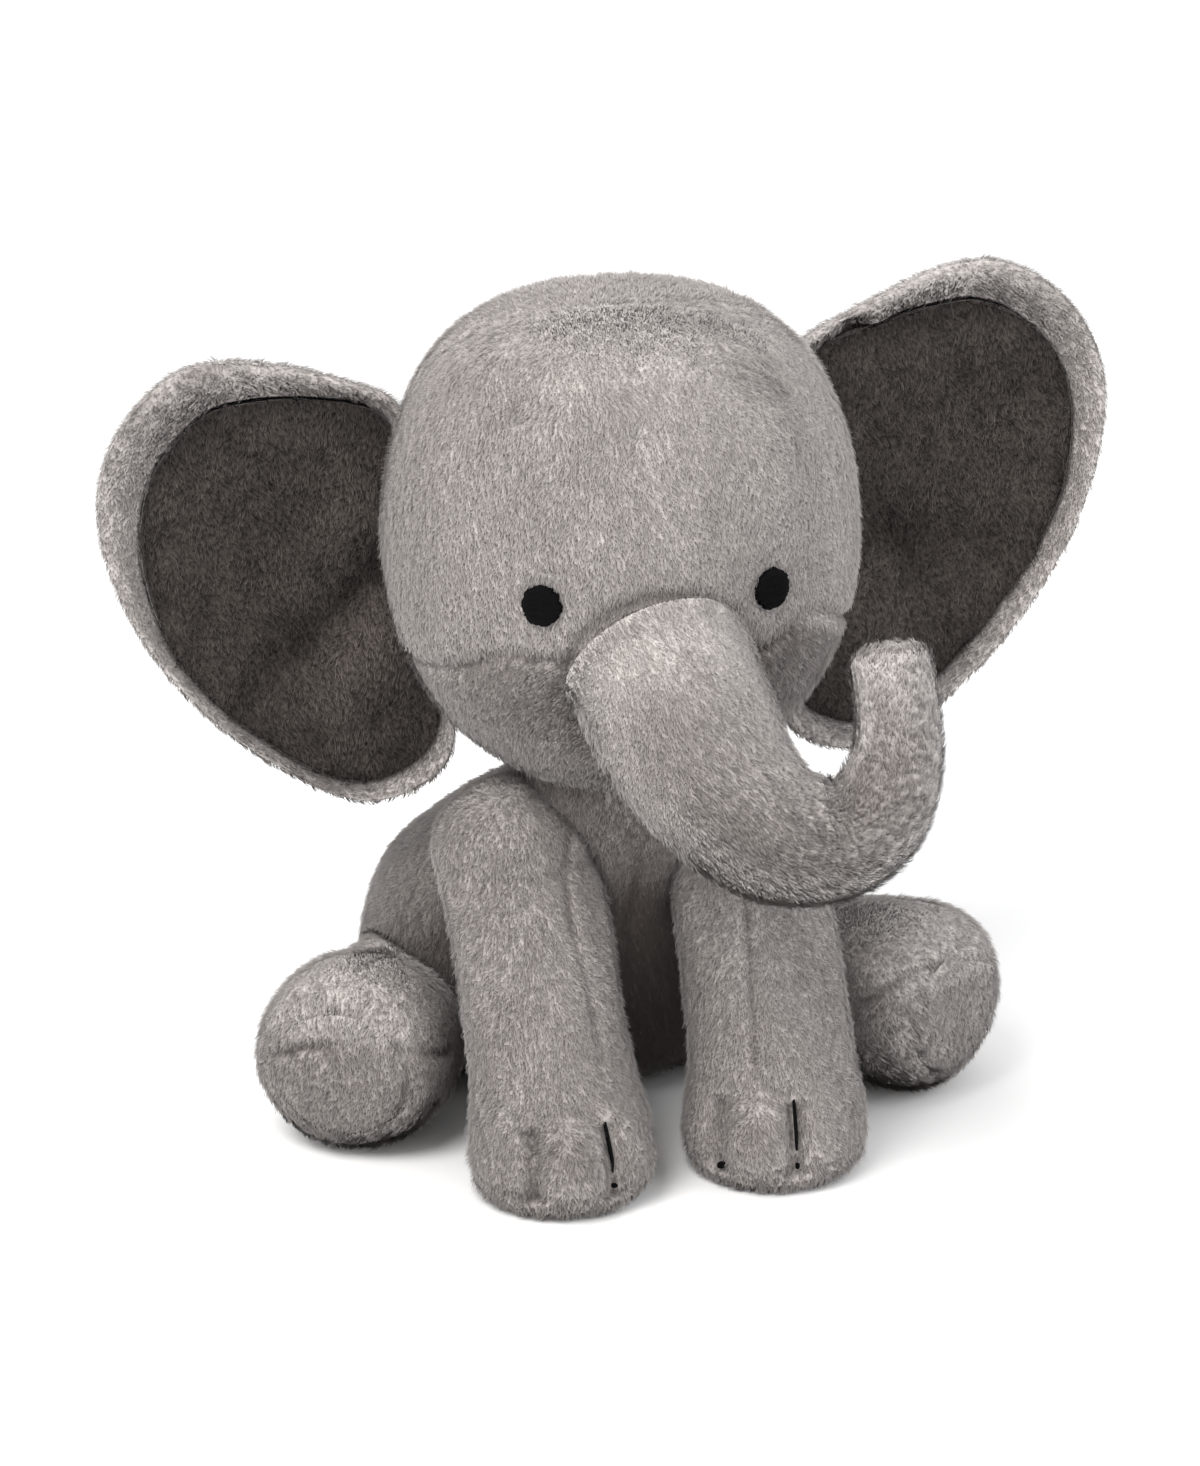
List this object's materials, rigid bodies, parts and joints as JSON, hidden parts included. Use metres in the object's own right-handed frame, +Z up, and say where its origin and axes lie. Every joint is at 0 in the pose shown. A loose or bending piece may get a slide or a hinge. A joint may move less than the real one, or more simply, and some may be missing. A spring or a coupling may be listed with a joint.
{
  "type": "stuffed elephant",
  "caption": "Seated stuffed elephant with a big round head, wide dished ears and a trunk that curls up at one side; sewn from short grey pile and softly stuffed",
  "frame": {"origin": "on the floor, under the middle of the bounding box", "axes": "+Z up, the elephant faces -Y, its own left side is +X"},
  "size_m": [0.2548, 0.2044, 0.215],
  "materials": {
    "dark_pile": "short plush pile laid against the light",
    "embroidery_thread": "satin embroidery thread",
    "fibre_fill": "loose polyester fibre",
    "grey_pile": "short plush pile, soft sheen",
    "pellet_cloth": "plain woven cloth"
  },
  "bodies": {
    "torso": {"belly_panel_left": "grey_pile", "belly_panel_right": "grey_pile", "back_panel_left": "grey_pile", "back_panel_right": "grey_pile", "seat_gusset": "grey_pile", "torso_stuffing": "fibre_fill", "pellet_pouch": "pellet_cloth"},
    "neck": {"neck_stuffing": "fibre_fill"},
    "head": {"head_front_panel": "grey_pile", "head_back_panel_left": "grey_pile", "head_back_panel_right": "grey_pile", "cheek_panel_left": "grey_pile", "cheek_panel_right": "grey_pile", "head_stuffing": "fibre_fill", "eye_left": "embroidery_thread", "eye_right": "embroidery_thread"},
    "trunk": {"trunk_upper_panel": "grey_pile", "trunk_under_panel": "grey_pile", "trunk_stuffing": "fibre_fill"},
    "ear_left": {"ear_shell_left": "grey_pile", "ear_lining_left": "dark_pile", "ear_padding_left": "fibre_fill"},
    "ear_right": {"ear_shell_right": "grey_pile", "ear_lining_right": "dark_pile", "ear_padding_right": "fibre_fill"},
    "front_leg_left": {"front_leg_left_outer": "grey_pile", "front_leg_left_inner": "grey_pile", "front_leg_left_sole": "grey_pile", "front_leg_left_stuffing": "fibre_fill", "front_leg_left_toe_stitches": "embroidery_thread"},
    "hind_leg_left": {"hind_leg_left_outer": "grey_pile", "hind_leg_left_inner": "grey_pile", "hind_leg_left_sole": "grey_pile", "hind_leg_left_stuffing": "fibre_fill"},
    "front_leg_right": {"front_leg_right_outer": "grey_pile", "front_leg_right_inner": "grey_pile", "front_leg_right_sole": "grey_pile", "front_leg_right_stuffing": "fibre_fill", "front_leg_right_toe_stitches": "embroidery_thread"},
    "hind_leg_right": {"hind_leg_right_outer": "grey_pile", "hind_leg_right_inner": "grey_pile", "hind_leg_right_sole": "grey_pile", "hind_leg_right_stuffing": "fibre_fill"},
    "tail": {"tail_tube": "grey_pile", "tail_stuffing": "fibre_fill"}
  },
  "joints": [
    {"name": "neck_turn", "type": "hinge", "parent": "torso", "child": "neck", "pos_m": [-0.00061, -0.00481, 0.086], "axis": [0, 0, 1], "range_deg": [-25, 25], "stiffness_Nm_per_rad": 0.3},
    {"name": "head_nod", "type": "hinge", "parent": "neck", "child": "head", "pos_m": [-0.00061, -0.00481, 0.086], "axis": [-0.9986, 0.0523, 0], "range_deg": [-8, 10], "stiffness_Nm_per_rad": 1.2},
    {"name": "trunk_lift", "type": "hinge", "parent": "head", "child": "trunk", "pos_m": [-0.00461, -0.05367, 0.13649], "axis": [-0.9986, 0.0523, -0.0087], "range_deg": [-8, 18], "stiffness_Nm_per_rad": 0.5},
    {"name": "ear_left_flap", "type": "hinge", "parent": "head", "child": "ear_left", "pos_m": [0.05946, 0.00606, 0.15252], "axis": [-0.0087, 0.0005, 1], "range_deg": [-25, 20], "stiffness_Nm_per_rad": 0.1},
    {"name": "ear_right_flap", "type": "hinge", "parent": "head", "child": "ear_right", "pos_m": [-0.06033, 0.01234, 0.14747], "axis": [0.0087, -0.0005, -1], "range_deg": [-25, 20], "stiffness_Nm_per_rad": 0.1},
    {"name": "front_leg_left_swing", "type": "hinge", "parent": "torso", "child": "front_leg_left", "pos_m": [0.02839, -0.00881, 0.074], "axis": [-1, 0, 0], "range_deg": [0, 30], "stiffness_Nm_per_rad": 0.3},
    {"name": "front_leg_right_swing", "type": "hinge", "parent": "torso", "child": "front_leg_right", "pos_m": [-0.02961, -0.00881, 0.074], "axis": [-1, 0, 0], "range_deg": [0, 30], "stiffness_Nm_per_rad": 0.3},
    {"name": "hind_leg_left_spread", "type": "hinge", "parent": "torso", "child": "hind_leg_left", "pos_m": [0.04739, 0.02819, 0.02], "axis": [0, 0, 1], "range_deg": [-8, 12], "stiffness_Nm_per_rad": 0.3},
    {"name": "hind_leg_right_spread", "type": "hinge", "parent": "torso", "child": "hind_leg_right", "pos_m": [-0.04861, 0.02819, 0.02], "axis": [0, 0, -1], "range_deg": [-8, 12], "stiffness_Nm_per_rad": 0.3},
    {"name": "tail_swing", "type": "hinge", "parent": "torso", "child": "tail", "pos_m": [-0.00061, 0.08769, 0.044], "axis": [0, 1, 0], "range_deg": [-20, 20], "stiffness_Nm_per_rad": 0.02}
  ]
}
